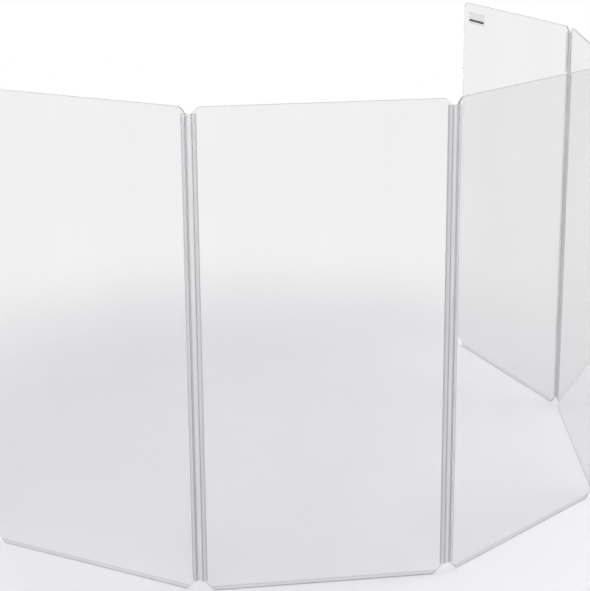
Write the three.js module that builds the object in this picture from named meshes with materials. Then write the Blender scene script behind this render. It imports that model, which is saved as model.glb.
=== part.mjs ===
// A folding drum shield: five clear acrylic panels joined by four full-length clear hinges.
// Millimetres, +Z up. X runs along the middle panel, and -Y points to the audience.
// Panels are counted from left to right as the audience sees them.
import * as THREE from "three";

// Acrylic panels
const panelWidth = 606;
const panelHeight = 1219;
const panelThickness = 6;
const panelEdgeBevel = 0.5;
const topCornerClip = 14;
const footCornerClip = 28;
const clipRounding = 4;

// Hinge channels, which push onto the panels' upright edges
const channelWidth = 12;
const channelBack = 2;
const channelWall = 0.8;
const channelRounding = 0.6;
const slotClearance = 0.3;
const hingeTopInset = 16;
const hingeFootInset = 27;

// Hinge web, which bends along both of its edges
const webSpan = 8.5;
const webThickness = 1;
const webClearance = 0.25;

// Label on the last panel
const labelWidth = 96;
const labelHeight = 40;
const labelThickness = 0.4;
const labelRounding = 3;
const labelBond = 0.2;
const labelFromFreeEdge = 32;
const labelFromTop = 27;

// Turn of each hinge as the shield stands, inwards, in degrees
const hingeAngle12 = 33.1;
const hingeAngle23 = 35.8;
const hingeAngle34 = 46.3;
const hingeAngle45 = 25.1;

const curveSteps = 4;
const left = -1;
const right = 1;

// Places that follow from the sizes
const slotWidth = panelThickness + 2 * slotClearance;
const channelThickness = slotWidth + 2 * channelWall;
const hingeLength = panelHeight - hingeTopInset - hingeFootInset;
const backFromCentre = panelWidth / 2 + slotClearance + channelBack;
const webRadius = webThickness / 2;
const bendFromCentre = backFromCentre + webClearance + webRadius;

// A closed outline whose corners are rounded, each starting its curve at the given distance
function roundedOutline(corners, rounding) {
  const shape = new THREE.Shape();
  corners.forEach((corner, i) => {
    const before = corners[(i + corners.length - 1) % corners.length];
    const after = corners[(i + 1) % corners.length];
    const into = before.clone().sub(corner).setLength(rounding).add(corner);
    const out = after.clone().sub(corner).setLength(rounding).add(corner);
    if (i === 0) {
      shape.moveTo(into.x, into.y);
    } else {
      shape.lineTo(into.x, into.y);
    }
    shape.quadraticCurveTo(corner.x, corner.y, out.x, out.y);
  });
  shape.closePath();
  return shape;
}

// A shape drawn as seen from the audience, made into an upright plate centred on y = 0
function uprightPlate(shape, thickness, bevel) {
  const depth = thickness - 2 * bevel;
  const geometry = new THREE.ExtrudeGeometry(shape, {
    depth,
    steps: 1,
    curveSegments: curveSteps,
    bevelEnabled: bevel > 0,
    bevelSegments: 1,
    bevelThickness: bevel,
    bevelSize: bevel,
    bevelOffset: -bevel,
  });
  geometry.translate(0, 0, -depth / 2);
  geometry.rotateX(Math.PI / 2);
  return geometry;
}

// A plan section drawn along the length of a hinge
function hingeExtrusion(shape) {
  const geometry = new THREE.ExtrudeGeometry(shape, {
    depth: hingeLength,
    steps: 1,
    curveSegments: curveSteps,
    bevelEnabled: false,
  });
  geometry.translate(0, 0, hingeFootInset);
  return geometry;
}

function named(name, geometry, material) {
  const mesh = new THREE.Mesh(geometry, material);
  mesh.name = name;
  return mesh;
}

function acrylic() {
  return new THREE.MeshStandardMaterial({
    color: 0xe9eceb,
    roughness: 0.05,
    metalness: 0,
    transparent: true,
    opacity: 0.25,
  });
}

function hingePlastic(opacity) {
  return new THREE.MeshStandardMaterial({
    color: 0xd3d3d8,
    roughness: 0.2,
    metalness: 0,
    transparent: true,
    opacity,
  });
}

function labelFilm() {
  return new THREE.MeshStandardMaterial({ color: 0x55575a, roughness: 0.5, metalness: 0 });
}

// A panel with its four corners clipped: small clips at the top and larger ones at the floor
function panelSheet(name) {
  const side = panelWidth / 2;
  const corners = [
    [-side + footCornerClip, 0],
    [side - footCornerClip, 0],
    [side, footCornerClip],
    [side, panelHeight - topCornerClip],
    [side - topCornerClip, panelHeight],
    [-side + topCornerClip, panelHeight],
    [-side, panelHeight - topCornerClip],
    [-side, footCornerClip],
  ].map(([x, z]) => new THREE.Vector2(x, z));
  const outline = roundedOutline(corners, clipRounding);
  return named(name, uprightPlate(outline, panelThickness, panelEdgeBevel), acrylic());
}

// A channel of U section on the edge of a panel, with its back towards the web
function hingeChannel(name, side) {
  const outer = channelThickness / 2;
  const inner = slotWidth / 2;
  const section = new THREE.Shape();
  section.moveTo(channelRounding, -outer);
  section.lineTo(channelWidth, -outer);
  section.lineTo(channelWidth, -inner);
  section.lineTo(channelBack, -inner);
  section.lineTo(channelBack, inner);
  section.lineTo(channelWidth, inner);
  section.lineTo(channelWidth, outer);
  section.lineTo(channelRounding, outer);
  section.quadraticCurveTo(0, outer, 0, outer - channelRounding);
  section.lineTo(0, channelRounding - outer);
  section.quadraticCurveTo(0, -outer, channelRounding, -outer);
  const mesh = named(name, hingeExtrusion(section), hingePlastic(0.5));
  mesh.position.x = side * backFromCentre;
  mesh.rotation.z = side === right ? Math.PI : 0;
  return mesh;
}

// The soft web from one bend line, at x = 0, to the other, with round edges centred on them
function hingeWeb(name, side) {
  const section = new THREE.Shape();
  section.moveTo(0, -webRadius);
  section.lineTo(webSpan, -webRadius);
  section.absarc(webSpan, 0, webRadius, -Math.PI / 2, Math.PI / 2, false);
  section.lineTo(0, webRadius);
  section.absarc(0, 0, webRadius, Math.PI / 2, 1.5 * Math.PI, false);
  const mesh = named(name, hingeExtrusion(section), hingePlastic(0.35));
  mesh.rotation.z = side === right ? 0 : Math.PI;
  return mesh;
}

// A panel and the channels on its edges, centred on the panel
function section(number, hinges) {
  const group = new THREE.Group();
  group.add(panelSheet(`panel_${number}`));
  for (const [hinge, side] of hinges) {
    group.add(hingeChannel(`hinge_${hinge}_channel_${number}`, side));
  }
  return group;
}

// Joins a section to the edge of another, with half of the turn at either edge of the web
function join(carrier, hinge, side, turn, next) {
  const halfTurn = side * THREE.MathUtils.degToRad(turn / 2);
  const nearBend = new THREE.Group();
  nearBend.position.x = side * bendFromCentre;
  nearBend.rotation.z = halfTurn;
  nearBend.add(hingeWeb(`hinge_${hinge}_web`, side));
  const farBend = new THREE.Group();
  farBend.position.x = side * webSpan;
  farBend.rotation.z = halfTurn;
  nearBend.add(farBend);
  next.position.x = side * bendFromCentre;
  farBend.add(next);
  carrier.add(nearBend);
}

// A stuck-on label near the free top corner, on the drummer's side
function label() {
  const w = labelWidth / 2;
  const h = labelHeight / 2;
  const corners = [
    [-w, -h],
    [w, -h],
    [w, h],
    [-w, h],
  ].map(([x, z]) => new THREE.Vector2(x, z));
  const outline = roundedOutline(corners, labelRounding);
  const mesh = named("label", uprightPlate(outline, labelThickness, 0), labelFilm());
  mesh.position.set(
    panelWidth / 2 - labelFromFreeEdge - w,
    panelThickness / 2 + labelBond + labelThickness / 2,
    panelHeight - labelFromTop - h,
  );
  return mesh;
}

const shield = new THREE.Group();
const section1 = section(1, [["12", right]]);
const section2 = section(2, [["12", left], ["23", right]]);
const section3 = section(3, [["23", left], ["34", right]]);
const section4 = section(4, [["34", left], ["45", right]]);
const section5 = section(5, [["45", left]]);
section5.add(label());
join(section3, "23", left, hingeAngle23, section2);
join(section2, "12", left, hingeAngle12, section1);
join(section3, "34", right, hingeAngle34, section4);
join(section4, "45", right, hingeAngle45, section5);
shield.add(section3);

// The origin is the middle of the footprint, on the floor
shield.updateMatrixWorld(true);
const footprint = new THREE.Box3().setFromObject(shield, true);
const middle = footprint.getCenter(new THREE.Vector3());
section3.position.set(-middle.x, -middle.y, -footprint.min.z);

export default shield;
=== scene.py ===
import math

import bpy
from mathutils import Matrix, Vector

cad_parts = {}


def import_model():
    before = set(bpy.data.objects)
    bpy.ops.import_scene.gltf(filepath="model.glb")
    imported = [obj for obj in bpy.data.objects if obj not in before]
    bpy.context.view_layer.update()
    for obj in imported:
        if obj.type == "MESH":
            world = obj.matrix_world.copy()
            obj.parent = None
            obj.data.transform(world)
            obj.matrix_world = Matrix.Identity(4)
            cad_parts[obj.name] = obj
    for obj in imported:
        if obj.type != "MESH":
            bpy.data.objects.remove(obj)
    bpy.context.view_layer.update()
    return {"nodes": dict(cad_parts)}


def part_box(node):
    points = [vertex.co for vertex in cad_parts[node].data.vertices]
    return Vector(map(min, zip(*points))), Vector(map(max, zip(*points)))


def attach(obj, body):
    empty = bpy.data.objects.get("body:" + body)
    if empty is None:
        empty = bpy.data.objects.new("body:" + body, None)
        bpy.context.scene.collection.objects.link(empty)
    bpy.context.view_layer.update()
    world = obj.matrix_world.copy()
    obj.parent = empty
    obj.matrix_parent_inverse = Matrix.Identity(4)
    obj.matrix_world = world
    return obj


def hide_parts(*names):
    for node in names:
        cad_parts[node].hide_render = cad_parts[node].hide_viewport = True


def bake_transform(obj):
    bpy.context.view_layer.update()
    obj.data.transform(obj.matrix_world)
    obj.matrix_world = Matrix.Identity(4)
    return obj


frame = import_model()

MM = 0.001

# Panels, numbered from left to right as the audience sees them
PANEL_NUMBERS = range(1, 6)
LABELLED_PANEL = 5
ARRIS = 0.6 * MM
ARRIS_STEPS = 3
TOP_CLIP = 14 * MM
FOOT_CLIP = 28 * MM
TOP_CLIP_ROUNDING = 7 * MM
FOOT_CLIP_ROUNDING = 5 * MM
CORNER_STEPS = 6

# A sheet's faces have more of their unit normal along Y than the first of these, and its
# upright edges less along Z than the second
FACE_NORMAL_Y = 0.99
UPRIGHT_NORMAL_Z = 0.05

# Hinge channels. Their ribs' shares say how far along a wall each stands, out of its width.
CHANNEL_WIDTH = 12 * MM
CHANNEL_BACK = 2 * MM
CHANNEL_WALL = 0.8 * MM
CHANNEL_ROUNDING = 0.7 * MM
SLOT_CLEARANCE = 0.3 * MM
GRIP_RIB_HEIGHT = 0.25 * MM
GRIP_RIB_HALF = 0.35 * MM
GRIP_RIB_SHARES = (0.45, 0.75)
ROUND_STEPS = 5

# Hinge webs, whose span is from one bend line to the other
WEB_SPAN = 8.5 * MM
WEB_THICKNESS = 1.0 * MM
WEB_GROOVE_THICKNESS = 0.7 * MM
WEB_ROOT_THICKNESS = 1.5 * MM
WEB_CLEARANCE = 0.25 * MM
WEB_ROOT_DEPTH = 0.1 * MM
WEB_STEPS = 24
BEAD_STEPS = 14

# How far from the near bend the web's curve round it starts, as a share of the bead's radius
BEND_CURVE_SHARE = 0.6

# Edges of the hinges that are flatter than this are shaded smooth
SMOOTH_LIMIT = math.radians(40)

# Label, and the bar on it
LABEL_WIDTH = 96 * MM
LABEL_HEIGHT = 40 * MM
LABEL_THICKNESS = 0.4 * MM
LABEL_ROUNDING = 4 * MM
LABEL_ARRIS = 0.1 * MM
LABEL_ARRIS_STEPS = 2
LABEL_BOND = 0.2 * MM
LABEL_FROM_FREE_EDGE = 32 * MM
LABEL_FROM_TOP = 27 * MM
BAR_WIDTH = 90 * MM
BAR_HEIGHT = 7.5 * MM
BAR_THICKNESS = 0.1 * MM
BAR_ROUNDING = 2 * MM
BAR_ARRIS = BAR_THICKNESS / 4
BAR_ABOVE_LABEL_FOOT = 12 * MM

LEFT = -1
RIGHT = 1


def plan_frame(node):
    """The place of an upright plate: X along its length in plan, +Y away from the audience,
    on the floor."""
    plan = [v.co.xy for v in frame["nodes"][node].data.vertices]
    middle = sum(plan, Vector((0, 0))) / len(plan)
    xx = sum((p.x - middle.x) ** 2 for p in plan)
    yy = sum((p.y - middle.y) ** 2 for p in plan)
    xy = sum((p.x - middle.x) * (p.y - middle.y) for p in plan)
    heading = math.atan2(2 * xy, xx - yy) / 2
    return Matrix.Translation((middle.x, middle.y, 0)) @ Matrix.Rotation(heading, 4, "Z")


def local_reach(node, place, axis):
    """How far a node reaches from a place along one of the place's axes."""
    inverse = place.inverted()
    return max((inverse @ v.co)[axis] for v in frame["nodes"][node].data.vertices)


PLACES = {n: plan_frame(f"panel_{n}") for n in PANEL_NUMBERS}
MIDDLE_PLACE = PLACES[3]
SIDE = local_reach("panel_3", MIDDLE_PLACE, 0)
PANEL_THICKNESS = 2 * local_reach("panel_3", MIDDLE_PLACE, 1)
PANEL_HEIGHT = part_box("panel_3")[1].z
HINGE_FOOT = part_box("hinge_23_web")[0].z
HINGE_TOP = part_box("hinge_23_web")[1].z
SLOT_WIDTH = PANEL_THICKNESS + 2 * SLOT_CLEARANCE
CHANNEL_THICKNESS = SLOT_WIDTH + 2 * CHANNEL_WALL
BACK_FROM_CENTRE = SIDE + SLOT_CLEARANCE + CHANNEL_BACK
WEB_BEAD = WEB_THICKNESS / 2 + WEB_CLEARANCE
BEND_FROM_CENTRE = BACK_FROM_CENTRE + WEB_BEAD


# Shapes


def rounded(corners, roundings, steps):
    """A closed outline whose corners are curves, each starting at its given distance."""
    points = []
    for i, (corner, rounding) in enumerate(zip(corners, roundings)):
        start = corner + (corners[i - 1] - corner).normalized() * rounding
        end = corner + (corners[(i + 1) % len(corners)] - corner).normalized() * rounding
        points += curve(start, corner, end, steps)
    return points


def curve(start, corner, end, steps):
    """Points on a curve from start to end, which sets out and arrives along a corner's sides."""
    shares = [k / steps for k in range(steps + 1)]
    return [start * (1 - t) ** 2 + corner * 2 * t * (1 - t) + end * t * t for t in shares]


def arc(middle, radius, first, turn, steps):
    """Points on an arc in plan, from its first angle through the given turn."""
    angles = [first + turn * k / steps for k in range(steps + 1)]
    return [middle + radius * Vector((math.cos(angle), math.sin(angle))) for angle in angles]


def inset(outline, distance):
    """A convex outline, given anticlockwise, moved inwards along its corners' normals."""
    moved = []
    for i, point in enumerate(outline):
        before = (point - outline[i - 1]).normalized()
        after = (outline[(i + 1) % len(outline)] - point).normalized()
        along = (before + after).normalized()
        inwards = Vector((-along.y, along.x))
        moved.append(point + inwards * distance / along.dot(before))
    return moved


def rings_to_mesh(rings):
    """A closed mesh from rings of as many points each, with its first and last ring filled."""
    size = len(rings[0])
    verts = [v for ring in rings for v in ring]
    faces = [list(range(size))[::-1], list(range(size * (len(rings) - 1), size * len(rings)))]
    for r in range(len(rings) - 1):
        for i in range(size):
            j = (i + 1) % size
            faces.append([r * size + i, r * size + j, (r + 1) * size + j, (r + 1) * size + i])
    return verts, faces


def plate(outline, thickness, arris, steps):
    """An upright plate centred on y = 0, its edges rounded over by the arris.
    Its outline is anticlockwise as the audience sees it."""
    rings = []
    for side in (RIGHT, LEFT):
        angles = [math.pi / 2 * k / steps for k in range(steps + 1)]
        for angle in angles if side == RIGHT else angles[::-1]:
            y = side * (thickness / 2 - arris * (1 - math.cos(angle)))
            ring = inset(outline, arris * (1 - math.sin(angle)))
            rings.append([Vector((p.x, y, p.y)) for p in ring])
    return rings_to_mesh(rings)


def hinge_prism(section):
    """A plan section, given anticlockwise, drawn straight up along the hinges' length."""
    return rings_to_mesh([[Vector((p.x, p.y, z)) for p in section] for z in (HINGE_FOOT, HINGE_TOP)])


def channel_section():
    """The U section of a channel, from the middle of its back's inside round the mouth to its
    outside at x = 0, and round the other half, anticlockwise."""
    outer = CHANNEL_THICKNESS / 2
    inner = SLOT_WIDTH / 2
    lip = CHANNEL_WALL / 2
    half = [Vector((CHANNEL_BACK, 0)), Vector((CHANNEL_BACK, inner))]
    for share in GRIP_RIB_SHARES:
        x = CHANNEL_WIDTH * share
        half += [Vector((x - GRIP_RIB_HALF, inner)), Vector((x, inner - GRIP_RIB_HEIGHT))]
        half.append(Vector((x + GRIP_RIB_HALF, inner)))
    mouth = Vector((CHANNEL_WIDTH - lip, inner + lip))
    half += arc(mouth, lip, -math.pi / 2, math.pi, ROUND_STEPS)
    shoulder = Vector((CHANNEL_ROUNDING, outer - CHANNEL_ROUNDING))
    half += arc(shoulder, CHANNEL_ROUNDING, math.pi / 2, math.pi / 2, ROUND_STEPS)
    other = [Vector((p.x, -p.y)) for p in half[1:]]
    return half + other[::-1]


def web_half_thickness(share):
    """Half the web's thickness along its length: thin at both bends, full in the middle."""
    dip = math.cos(2 * math.pi * share) / 2 + 1 / 2
    return (WEB_THICKNESS - (WEB_THICKNESS - WEB_GROOVE_THICKNESS) * dip) / 2


def web_section(root, near, far):
    """The web's section in plan: out of the carrier's channel, round the bend, and to a bead.
    With it, how far along the web each of its points lies."""
    into = (near - root).normalized()
    along = (far - near).normalized()
    start = near - into * WEB_BEAD * BEND_CURVE_SHARE
    end = near + along * WEB_BEAD * BEND_CURVE_SHARE
    groove = WEB_GROOVE_THICKNESS / 2
    line = [(root - into * WEB_ROOT_DEPTH, WEB_ROOT_THICKNESS / 2)]
    line += [(point, groove) for point in curve(start, near, end, ROUND_STEPS)]
    bead_start = far - along * math.sqrt(WEB_BEAD**2 - groove**2)
    for k in range(1, WEB_STEPS):
        share = k / WEB_STEPS
        line.append((end.lerp(bead_start, share), web_half_thickness(share)))
    right_side = []
    left_side = []
    reached = 0
    reaches = []
    for i, (point, half) in enumerate(line):
        before = line[max(i - 1, 0)][0]
        after = line[min(i + 1, len(line) - 1)][0]
        forward = (after - before).normalized()
        across = Vector((-forward.y, forward.x))
        right_side.append(point - across * half)
        left_side.append(point + across * half)
        reached += (point - before).length
        reaches.append(reached)
    opening = math.asin(groove / WEB_BEAD)
    heading = math.atan2(along.y, along.x)
    bead = arc(far, WEB_BEAD, heading - math.pi + opening, 2 * (math.pi - opening), BEAD_STEPS)
    bead_reaches = [reached + WEB_BEAD + (point - far).dot(along) for point in bead]
    return right_side + bead + left_side[::-1], reaches + bead_reaches + reaches[::-1]


def unroll(obj, reaches):
    """A UV map in metres: U is how far along its section a point lies, and V is its height."""
    layer = obj.data.uv_layers.new(name="unrolled")
    for loop in obj.data.loops:
        vertex = obj.data.vertices[loop.vertex_index]
        layer.data[loop.index].uv = (reaches[vertex.index % len(reaches)], vertex.co.z)


def new_object(name, data):
    """A new object in the scene."""
    obj = bpy.data.objects.new(name, data)
    bpy.context.scene.collection.objects.link(obj)
    return obj


def piece(name, shape, materials, place=None):
    """A piece of the object, still free of any body."""
    verts, faces = shape
    mesh = bpy.data.meshes.new(name)
    mesh.from_pydata(verts, [], faces)
    for material in materials:
        mesh.materials.append(material)
    obj = new_object(name, mesh)
    if place is not None:
        obj.matrix_world = place
    return obj


def shade_smooth(obj):
    """Smooth shading across edges flatter than the limit, sharp across the others."""
    for polygon in obj.data.polygons:
        polygon.use_smooth = True
    obj.data.set_sharp_from_angle(angle=SMOOTH_LIMIT)


# Nodes


def new_material(name):
    """A material without nodes, its nodes and its links."""
    material = bpy.data.materials.new(name)
    material.use_nodes = True
    nodes = material.node_tree.nodes
    nodes.clear()
    return material, nodes, material.node_tree.links


def add(nodes, kind, **values):
    """A new node with some of its settings."""
    node = nodes.new(kind)
    for key, value in values.items():
        setattr(node, key, value)
    return node


def coordinates(nodes, kind):
    """Object coordinates or the UV map."""
    return add(nodes, "ShaderNodeTexCoord").outputs[kind]


def stretched_noise(nodes, links, source, scale, detail):
    """Noise with its own scale, in waves a metre, along each axis."""
    scaled = add(nodes, "ShaderNodeVectorMath", operation="MULTIPLY")
    scaled.inputs[1].default_value = scale
    links.new(source, scaled.inputs[0])
    noise = add(nodes, "ShaderNodeTexNoise")
    noise.inputs["Scale"].default_value = 1.0
    noise.inputs["Detail"].default_value = detail
    links.new(scaled.outputs[0], noise.inputs["Vector"])
    return noise.outputs["Fac"]


def between(nodes, links, source, ends, to_ends=(0.0, 1.0), course="LINEAR"):
    """A value taken from one range to another, and kept within it."""
    node = add(nodes, "ShaderNodeMapRange", interpolation_type=course)
    for names, values in ((("From Min", "From Max"), ends), (("To Min", "To Max"), to_ends)):
        for name, value in zip(names, values):
            node.inputs[name].default_value = value
    links.new(source, node.inputs["Value"])
    return node.outputs["Result"]


def product(nodes, links, first, second):
    """Two values multiplied."""
    node = add(nodes, "ShaderNodeMath", operation="MULTIPLY")
    links.new(first, node.inputs[0])
    links.new(second, node.inputs[1])
    return node.outputs[0]


def ramp(nodes, links, source, axis, full, ends):
    """1 where a coordinate, taken without its sign, is at full, falling to 0 where it is at ends."""
    split = add(nodes, "ShaderNodeSeparateXYZ")
    links.new(source, split.inputs[0])
    unsigned = add(nodes, "ShaderNodeMath", operation="ABSOLUTE")
    links.new(split.outputs[axis], unsigned.inputs[0])
    return between(nodes, links, unsigned.outputs[0], (full, ends), (1.0, 0.0))


def near_floor(nodes, links, source, height):
    """1 on the floor, falling to 0 at the given height, most of it close to the floor."""
    falling = ramp(nodes, links, source, "Z", 0.0, height)
    return product(nodes, links, falling, falling)


def mixed_colour(nodes, links, share, first, second):
    """A colour between two others, either of which may be a socket."""
    mix = add(nodes, "ShaderNodeMix", data_type="RGBA")
    links.new(share, mix.inputs["Factor"])
    for name, colour in (("A", first), ("B", second)):
        socket = [s for s in mix.inputs if s.name == name and s.type == "RGBA"][0]
        if isinstance(colour, bpy.types.NodeSocket):
            links.new(colour, socket)
        else:
            socket.default_value = (*colour, 1)
    return [s for s in mix.outputs if s.type == "RGBA"][0]


def bumped(nodes, links, height, distance, strength):
    """A normal that follows the given height."""
    bump = add(nodes, "ShaderNodeBump")
    bump.inputs["Distance"].default_value = distance
    bump.inputs["Strength"].default_value = strength
    links.new(height, bump.inputs["Height"])
    return bump.outputs["Normal"]


def principled(nodes, links, finish, colour, normal=None):
    """The main shader, with its finish set on it and its colour and normal from sockets."""
    node = add(nodes, "ShaderNodeBsdfPrincipled")
    for name, value in finish.items():
        node.inputs[name].default_value = value
    links.new(colour, node.inputs["Base Color"])
    if normal is not None:
        links.new(normal, node.inputs["Normal"])
    return node.outputs[0]


def white_light(nodes, kind, strength):
    """White light of the given strength, from a surface or the world."""
    node = add(nodes, kind)
    node.inputs["Color"].default_value = (1, 1, 1, 1)
    node.inputs["Strength"].default_value = strength
    return node.outputs[0]


def mixed_shader(nodes, links, share, first, second, output_kind="ShaderNodeOutputMaterial"):
    """Puts out the first shader where the share is 0, and the second where it is 1."""
    mix = add(nodes, "ShaderNodeMixShader")
    links.new(share, mix.inputs["Fac"])
    links.new(first, mix.inputs[1])
    links.new(second, mix.inputs[2])
    links.new(mix.outputs[0], add(nodes, output_kind).inputs["Surface"])


def lets_lamps_through(nodes, links, shader, colour):
    """Puts out the shader, but clear to the rays that look for lamps, so that its shadow is light."""
    shadow_ray = add(nodes, "ShaderNodeLightPath").outputs["Is Shadow Ray"]
    clear = add(nodes, "ShaderNodeBsdfTransparent")
    clear.inputs["Color"].default_value = (*colour, 1)
    mixed_shader(nodes, links, shadow_ray, shader, clear.outputs[0])


# Materials

ACRYLIC_FINISH = {"Transmission Weight": 1.0, "IOR": 1.49, "Roughness": 0.02}
ACRYLIC_CLEAN = (0.882, 0.884, 0.884)
ACRYLIC_SMUDGE = (0.85, 0.853, 0.855)
# The darker tone is painted shade: painted contact shade towards the floor, and a painted shadow line
# along the sheet
ACRYLIC_PAINTED_SHADE = (0.6, 0.6, 0.605)
ACRYLIC_SHADOW = (0.90, 0.90, 0.902)
WIPE_MARK_SCALE = (2.2, 2.2, 0.9)
WIPE_MARK_RANGE = (0.42, 0.68)
# Painted contact shade is full at the floor and gone at this height; the painted shadow line is full at
# its middle height and gone at its foot and top
PAINTED_FOOT_SHADE_HEIGHT = 11 * MM
PAINTED_SHADOW_LINE = 9 * MM
PAINTED_SHADOW_LINE_FOOT = 7 * MM
PAINTED_SHADOW_LINE_TOP = 12.5 * MM
PAINTED_SHADOW_LINE_SHARE = 0.85


def acrylic():
    """Clear polished sheet with faint wipe marks, and with painted contact shade and a painted shadow
    line near the floor.
    """
    material, nodes, links = new_material("acrylic")
    place = coordinates(nodes, "Object")
    wiped = stretched_noise(nodes, links, place, WIPE_MARK_SCALE, detail=3.0)
    smudge = between(nodes, links, wiped, WIPE_MARK_RANGE)
    colour = mixed_colour(nodes, links, smudge, ACRYLIC_CLEAN, ACRYLIC_SMUDGE)
    # A painted shadow line along the sheet, just above the floor
    below = ramp(nodes, links, place, "Z", PAINTED_SHADOW_LINE, PAINTED_SHADOW_LINE_TOP)
    above = ramp(nodes, links, place, "Z", PAINTED_SHADOW_LINE, PAINTED_SHADOW_LINE_FOOT)
    line = product(nodes, links, below, above)
    painted_shadow_share = between(nodes, links, line, (0.0, 1.0), (0.0, PAINTED_SHADOW_LINE_SHARE))
    colour = mixed_colour(nodes, links, painted_shadow_share, colour, ACRYLIC_PAINTED_SHADE)
    # Painted contact shade, darker towards the floor
    painted_foot_shade = near_floor(nodes, links, place, PAINTED_FOOT_SHADE_HEIGHT)
    colour = mixed_colour(nodes, links, painted_foot_shade, colour, ACRYLIC_PAINTED_SHADE)
    shader = principled(nodes, links, ACRYLIC_FINISH, colour)
    lets_lamps_through(nodes, links, shader, ACRYLIC_SHADOW)
    return material


SAWN_FINISH = {"Transmission Weight": 0.45, "IOR": 1.49, "Roughness": 0.35}
SAWN_SMOOTH = (0.72, 0.725, 0.725)
SAWN_ROUGH = (0.58, 0.585, 0.585)
UPRIGHT_FINISH = {"Transmission Weight": 0.8, "IOR": 1.49, "Roughness": 0.12}
UPRIGHT_SMOOTH = (0.95, 0.95, 0.95)
UPRIGHT_ROUGH = (0.88, 0.885, 0.885)
# Painted contact shade on the edges, full at the floor and gone at the height below
EDGE_PAINTED_SHADE = (0.27, 0.27, 0.275)
EDGE_SHADOW = (0.6, 0.6, 0.6)
EDGE_PAINTED_SHADE_HEIGHT = 40 * MM
SAW_MARK_SCALE = (600, 40, 600)
SAW_MARK_DEPTH = 0.1 * MM
SAW_MARK_STRENGTH = 0.5


def acrylic_edge(name, finish, smooth, rough):
    """The sheet's edges: more or less frosted, with fine saw marks, and with painted contact shade
    towards the floor.
    """
    material, nodes, links = new_material(name)
    place = coordinates(nodes, "Object")
    marks = stretched_noise(nodes, links, place, SAW_MARK_SCALE, detail=3.0)
    colour = mixed_colour(nodes, links, marks, rough, smooth)
    # Painted contact shade, darker towards the floor
    painted_foot_shade = near_floor(nodes, links, place, EDGE_PAINTED_SHADE_HEIGHT)
    colour = mixed_colour(nodes, links, painted_foot_shade, colour, EDGE_PAINTED_SHADE)
    normal = bumped(nodes, links, marks, SAW_MARK_DEPTH, SAW_MARK_STRENGTH)
    shader = principled(nodes, links, finish, colour, normal)
    lets_lamps_through(nodes, links, shader, EDGE_SHADOW)
    return material


VINYL_FINISH = {"Transmission Weight": 0.62, "IOR": 1.53, "Roughness": 0.12}
VINYL_SHADOW = (0.87, 0.87, 0.88)
DRAWN_LINE_RANGE = (0.4, 0.65)
DRAWN_LINE_DEPTH = 0.1 * MM
DRAWN_LINE_STRENGTH = 0.3
CHANNEL_CLEAR = (0.93, 0.93, 0.94)
CHANNEL_LINES = (0.87, 0.87, 0.882)
CHANNEL_LINE_SCALE = (700, 700, 3)
WEB_CLEAR = (0.89, 0.89, 0.905)
WEB_LINES = (0.83, 0.83, 0.845)
WEB_LINE_SCALE = (700, 3, 1)

# The vinyl's painted shade, at the channels' backs and mouths and at the webs' ends. Each is full at its
# first coordinate and gone at its second.
CHANNEL_BACK_SHADE = (0.49, 0.49, 0.50)
CHANNEL_BACK_X = (CHANNEL_BACK * 0.9, CHANNEL_BACK * 1.3)
CHANNEL_BACK_Y = (CHANNEL_THICKNESS / 2 - 0.1 * MM, CHANNEL_THICKNESS / 2 - 0.5 * MM)
CHANNEL_MOUTH_SHADE = (0.74, 0.74, 0.75)
CHANNEL_MOUTH_X = (CHANNEL_WIDTH - 1.5 * MM, CHANNEL_WIDTH - 4 * MM)
WEB_END_SHADE = (0.77, 0.77, 0.785)
WEB_ROOT_U = (0.5 * MM, 2.4 * MM)
WEB_BEAD_U = (WEB_SPAN + WEB_BEAD, WEB_SPAN - WEB_BEAD)


def vinyl(name, coordinate, scale, clear, lines, painted_shade_places):
    """Clear, slightly milky vinyl with fine lines drawn along its length, and painted shade at its
    channels' backs and mouths and its webs' ends.
    A place of painted shade is a tone and where it lies along one axis or more."""
    material, nodes, links = new_material(name)
    place = coordinates(nodes, coordinate)
    drawn = stretched_noise(nodes, links, place, scale, detail=2.0)
    colour = mixed_colour(nodes, links, between(nodes, links, drawn, DRAWN_LINE_RANGE), clear, lines)
    # Painted shade at each of the given places
    for tone, axes in painted_shade_places:
        shares = [ramp(nodes, links, place, axis, *reach) for axis, reach in axes.items()]
        share = shares[0]
        for other in shares[1:]:
            share = product(nodes, links, share, other)
        colour = mixed_colour(nodes, links, share, colour, tone)
    normal = bumped(nodes, links, drawn, DRAWN_LINE_DEPTH, DRAWN_LINE_STRENGTH)
    shader = principled(nodes, links, VINYL_FINISH, colour, normal)
    lets_lamps_through(nodes, links, shader, VINYL_SHADOW)
    return material


FILM_FINISH = {"Transmission Weight": 0.75, "IOR": 1.45, "Roughness": 0.1}
FILM_CLEAR = (0.94, 0.94, 0.935)
FILM_CLOUDY = (0.86, 0.86, 0.855)
FILM_SHADOW = (0.9, 0.9, 0.9)
FIBRE_SCALE = (400, 400, 900)
FIBRE_DEPTH = 0.05 * MM
FIBRE_STRENGTH = 0.3


def label_film():
    """Clear self-adhesive film, a little cloudy, with a faint fibre in it."""
    material, nodes, links = new_material("label_film")
    fibre = stretched_noise(nodes, links, coordinates(nodes, "Object"), FIBRE_SCALE, detail=5.0)
    colour = mixed_colour(nodes, links, fibre, FILM_CLEAR, FILM_CLOUDY)
    normal = bumped(nodes, links, fibre, FIBRE_DEPTH, FIBRE_STRENGTH)
    shader = principled(nodes, links, FILM_FINISH, colour, normal)
    lets_lamps_through(nodes, links, shader, FILM_SHADOW)
    return material


INK_FINISH = {"Roughness": 0.45}
INK_DARK = (0.035, 0.036, 0.038)
INK_PALE = (0.11, 0.112, 0.115)
MOTTLE_SCALE = (160, 160, 500)


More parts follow.
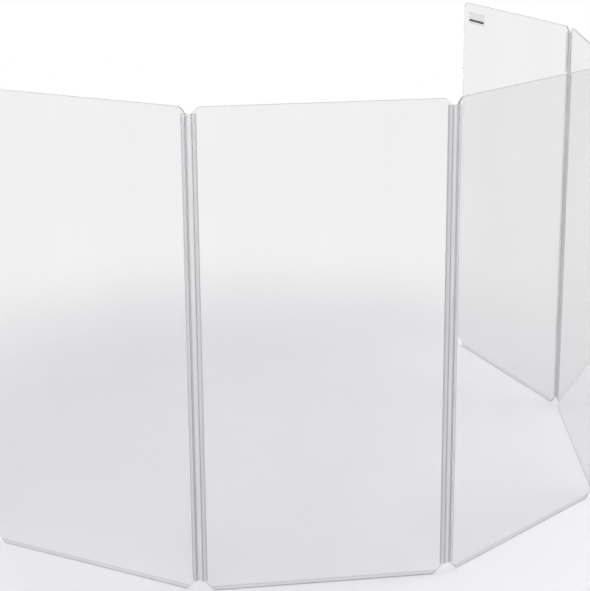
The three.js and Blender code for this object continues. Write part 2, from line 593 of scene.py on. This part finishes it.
def bar_ink():
    """Dark grey ink, a little mottled, on the label's film."""
    material, nodes, links = new_material("bar_ink")
    mottle = stretched_noise(nodes, links, coordinates(nodes, "Object"), MOTTLE_SCALE, detail=4.0)
    shader = principled(nodes, links, INK_FINISH, mixed_colour(nodes, links, mottle, INK_DARK, INK_PALE))
    links.new(shader, add(nodes, "ShaderNodeOutputMaterial").inputs["Surface"])
    return material


ACRYLIC = acrylic()
SAWN_EDGE = acrylic_edge("acrylic_sawn_edge", SAWN_FINISH, SAWN_SMOOTH, SAWN_ROUGH)
UPRIGHT_EDGE = acrylic_edge("acrylic_upright_edge", UPRIGHT_FINISH, UPRIGHT_SMOOTH, UPRIGHT_ROUGH)
# The channels get painted shade at their backs and mouths, and the webs at their root and bead ends
CHANNEL_VINYL = vinyl("channel_vinyl", "Object", CHANNEL_LINE_SCALE, CHANNEL_CLEAR, CHANNEL_LINES, (
    (CHANNEL_BACK_SHADE, {"X": CHANNEL_BACK_X, "Y": CHANNEL_BACK_Y}),
    (CHANNEL_MOUTH_SHADE, {"X": CHANNEL_MOUTH_X}),
))
WEB_VINYL = vinyl("web_vinyl", "UV", WEB_LINE_SCALE, WEB_CLEAR, WEB_LINES, (
    (WEB_END_SHADE, {"X": WEB_ROOT_U}),
    (WEB_END_SHADE, {"X": WEB_BEAD_U}),
))
LABEL_FILM = label_film()
BAR_INK = bar_ink()


# Pieces


def build_panel(number):
    """A sheet with its four corners clipped, and its own finish on each kind of edge."""
    corners = [
        (-SIDE + FOOT_CLIP, 0),
        (SIDE - FOOT_CLIP, 0),
        (SIDE, FOOT_CLIP),
        (SIDE, PANEL_HEIGHT - TOP_CLIP),
        (SIDE - TOP_CLIP, PANEL_HEIGHT),
        (-SIDE + TOP_CLIP, PANEL_HEIGHT),
        (-SIDE, PANEL_HEIGHT - TOP_CLIP),
        (-SIDE, FOOT_CLIP),
    ]
    roundings = [TOP_CLIP_ROUNDING if z > PANEL_HEIGHT / 2 else FOOT_CLIP_ROUNDING for x, z in corners]
    outline = rounded([Vector(c) for c in corners], roundings, CORNER_STEPS)
    shape = plate(outline, PANEL_THICKNESS, ARRIS, ARRIS_STEPS)
    materials = [ACRYLIC, SAWN_EDGE, UPRIGHT_EDGE]
    obj = piece(f"sheet_{number}", shape, materials, PLACES[number])
    for polygon in obj.data.polygons:
        if abs(polygon.normal.y) > FACE_NORMAL_Y:
            polygon.material_index = materials.index(ACRYLIC)
        elif abs(polygon.normal.z) < UPRIGHT_NORMAL_Z:
            polygon.material_index = materials.index(UPRIGHT_EDGE)
        else:
            polygon.material_index = materials.index(SAWN_EDGE)
    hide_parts(f"panel_{number}")
    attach(obj, f"section_{number}")


def build_channel(hinge, number, side):
    """A channel on one edge of a panel. Its local X runs from its back towards the panel."""
    turn = Matrix.Rotation(math.pi if side == RIGHT else 0, 4, "Z")
    place = PLACES[number] @ Matrix.Translation((side * BACK_FROM_CENTRE, 0, 0)) @ turn
    shape = hinge_prism(channel_section())
    obj = piece(f"channel_{hinge}_{number}", shape, [CHANNEL_VINYL], place)
    shade_smooth(obj)
    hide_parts(f"hinge_{hinge}_channel_{number}")
    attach(obj, f"section_{number}")


def on_panel(number, x):
    """A point in plan on a panel's middle plane."""
    return (PLACES[number] @ Vector((x, 0, 0))).xy


def build_web(hinge, carrier, next_panel, side):
    """The web between two sections: out of its carrier's channel, round the near bend, and to a bead at
    the next panel's bend."""
    root = on_panel(carrier, side * BACK_FROM_CENTRE)
    near = on_panel(carrier, side * BEND_FROM_CENTRE)
    far = on_panel(next_panel, -side * BEND_FROM_CENTRE)
    section, reaches = web_section(root, near, far)
    obj = piece(f"web_strip_{hinge}", hinge_prism(section), [WEB_VINYL])
    unroll(obj, reaches)
    shade_smooth(obj)
    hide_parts(f"hinge_{hinge}_web")
    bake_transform(obj)


def label_plate(width, height, rounding, thickness, arris):
    """A thin upright rectangle about the origin, with rounded corners."""
    x = width / 2
    z = height / 2
    corners = [Vector(c) for c in ((-x, -z), (x, -z), (x, z), (-x, z))]
    outline = rounded(corners, [rounding] * len(corners), CORNER_STEPS)
    return plate(outline, thickness, arris, LABEL_ARRIS_STEPS)


def build_label(number):
    """The label's film, near a panel's free top corner, and the bar printed on it."""
    middle = Vector((
        SIDE - LABEL_FROM_FREE_EDGE - LABEL_WIDTH / 2,
        PANEL_THICKNESS / 2 + LABEL_BOND + LABEL_THICKNESS / 2,
        PANEL_HEIGHT - LABEL_FROM_TOP - LABEL_HEIGHT / 2,
    ))
    place = PLACES[number] @ Matrix.Translation(middle)
    shape = label_plate(LABEL_WIDTH, LABEL_HEIGHT, LABEL_ROUNDING, LABEL_THICKNESS, LABEL_ARRIS)
    film = piece("label_film", shape, [LABEL_FILM], place)
    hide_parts("label")
    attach(film, f"section_{number}")
    raised = Vector((
        0,
        LABEL_THICKNESS / 2 + BAR_THICKNESS / 2,
        BAR_ABOVE_LABEL_FOOT - LABEL_HEIGHT / 2,
    ))
    shape = label_plate(BAR_WIDTH, BAR_HEIGHT, BAR_ROUNDING, BAR_THICKNESS, BAR_ARRIS)
    bar = piece("label_bar", shape, [BAR_INK], place @ Matrix.Translation(raised))
    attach(bar, f"section_{number}")


for number in PANEL_NUMBERS:
    build_panel(number)
for hinge, left_panel, right_panel in (("12", 1, 2), ("23", 2, 3), ("34", 3, 4), ("45", 4, 5)):
    build_channel(hinge, left_panel, RIGHT)
    build_channel(hinge, right_panel, LEFT)
for hinge, carrier, next_panel, side in (
    ("23", 3, 2, LEFT),
    ("12", 2, 1, LEFT),
    ("34", 3, 4, RIGHT),
    ("45", 4, 5, RIGHT),
):
    build_web(hinge, carrier, next_panel, side)
build_label(LABELLED_PANEL)


# Floor, light and camera

FLOOR_FINISH = {"Roughness": 0.6}
FLOOR_DARK = (0.68, 0.667, 0.707)
FLOOR_PALE = (0.72, 0.707, 0.747)
FLOOR_GRAIN_SCALE = (3, 3, 3)
FLOOR_HALF_SIDE = 30.0
FLOOR_GAP = 0.2 * MM

# The floor shows as it is lit up to the first distance from its middle, and is white past the
# second. The shares say how white it is at each.
FLOOR_MIDDLE = (-0.1, 0.45, 0)
FLOOR_FADE = (0.65, 2.0)
FLOOR_WHITE_SHARES = (0.05, 1.0)

WHITE_STRENGTH = 1.0
AMBIENT_STRENGTH = 0.55
HALF_A_BOUNCE = 0.5

# A lamp's place, the point it faces, its size across and its watts
LAMPS = {
    "key": ((2.8, -2.0, 3.6), (0, 0, 0.5), 2.4, 95),
    "fill": ((-3.0, -1.6, 2.8), (0, 0, 0.5), 2.4, 40),
    "back": ((0.4, 3.2, 3.4), (0, 0, 0.4), 2.0, 45),
}

# The photograph's view. Yaw turns left from +Y, and roll is clockwise as the image is seen.
CAMERA_PLACE = Vector((-2.8431, -2.7164, 1.9084))
CAMERA_YAW = math.radians(-43.216)
CAMERA_PITCH_DOWN = math.radians(14.568)
CAMERA_ROLL = math.radians(0.439)
CAMERA_SENSOR_MM = 36.0
CAMERA_LENS_MM = 90.714
CAMERA_SHIFT_Y = -0.2
CAMERA_CLIP_END = 200.0


def seen_share(nodes, links):
    """1 for rays from the eye, also by way of mirrors and glass, and 0 for light on its way round."""
    path = add(nodes, "ShaderNodeLightPath")
    share = path.outputs["Is Camera Ray"]
    for name in ("Is Glossy Ray", "Is Transmission Ray"):
        either = add(nodes, "ShaderNodeMath", operation="MAXIMUM")
        links.new(share, either.inputs[0])
        links.new(path.outputs[name], either.inputs[1])
        share = either.outputs[0]
    unscattered = add(nodes, "ShaderNodeMath", operation="LESS_THAN")
    unscattered.inputs[1].default_value = HALF_A_BOUNCE
    links.new(path.outputs["Diffuse Depth"], unscattered.inputs[0])
    return product(nodes, links, share, unscattered.outputs[0])


def floor():
    """A plain pale floor that fades to white away from the object and keeps its shadow."""
    mesh = bpy.data.meshes.new("floor")
    signs = ((-1, -1), (1, -1), (1, 1), (-1, 1))
    corners = [(x * FLOOR_HALF_SIDE, y * FLOOR_HALF_SIDE, -FLOOR_GAP) for x, y in signs]
    mesh.from_pydata(corners, [], [(0, 1, 2, 3)])
    obj = new_object("floor", mesh)
    material, nodes, links = new_material("floor")
    place = coordinates(nodes, "Object")
    grain = stretched_noise(nodes, links, place, FLOOR_GRAIN_SCALE, detail=6.0)
    colour = mixed_colour(nodes, links, grain, FLOOR_DARK, FLOOR_PALE)
    lit = principled(nodes, links, FLOOR_FINISH, colour)
    distance = add(nodes, "ShaderNodeVectorMath", operation="DISTANCE")
    distance.inputs[1].default_value = FLOOR_MIDDLE
    links.new(place, distance.inputs[0])
    away = between(nodes, links, distance.outputs["Value"], FLOOR_FADE, FLOOR_WHITE_SHARES, "SMOOTHSTEP")
    share = product(nodes, links, away, seen_share(nodes, links))
    white = white_light(nodes, "ShaderNodeEmission", WHITE_STRENGTH)
    mixed_shader(nodes, links, share, lit, white)
    mesh.materials.append(material)


def world():
    """Plain studio light all round, and white where the eye, a mirror or glass looks at it."""
    data = bpy.data.worlds.new("studio")
    bpy.context.scene.world = data
    data.use_nodes = True
    nodes = data.node_tree.nodes
    links = data.node_tree.links
    nodes.clear()
    ambient = white_light(nodes, "ShaderNodeBackground", AMBIENT_STRENGTH)
    white = white_light(nodes, "ShaderNodeBackground", WHITE_STRENGTH)
    mixed_shader(nodes, links, seen_share(nodes, links), ambient, white, "ShaderNodeOutputWorld")


def lamp(name, place, target, size, power):
    """A soft round lamp that faces a point."""
    data = bpy.data.lights.new(name, "AREA")
    data.shape = "DISK"
    data.size = size
    data.energy = power
    obj = new_object(name, data)
    obj.location = place
    obj.rotation_euler = (Vector(target) - Vector(place)).to_track_quat("-Z", "Y").to_euler()


def camera():
    """The camera, with its axes from its yaw, pitch and roll."""
    yaw, pitch, roll = CAMERA_YAW, CAMERA_PITCH_DOWN, CAMERA_ROLL
    forward = Vector((
        -math.sin(yaw) * math.cos(pitch),
        math.cos(yaw) * math.cos(pitch),
        -math.sin(pitch),
    ))
    level = Vector((math.cos(yaw), math.sin(yaw), 0))
    down = forward.cross(level)
    right = math.cos(roll) * level + math.sin(roll) * down
    up = math.sin(roll) * level - math.cos(roll) * down
    data = bpy.data.cameras.new("camera")
    data.sensor_fit = "HORIZONTAL"
    data.sensor_width = CAMERA_SENSOR_MM
    data.lens = CAMERA_LENS_MM
    data.shift_y = CAMERA_SHIFT_Y
    data.clip_end = CAMERA_CLIP_END
    obj = new_object("camera", data)
    axes = Matrix((right, up, -forward)).transposed().to_4x4()
    obj.matrix_world = Matrix.Translation(CAMERA_PLACE) @ axes
    bpy.context.scene.camera = obj


floor()
world()
for name, values in LAMPS.items():
    lamp(name, *values)
camera()
bpy.context.scene.view_settings.view_transform = "Standard"
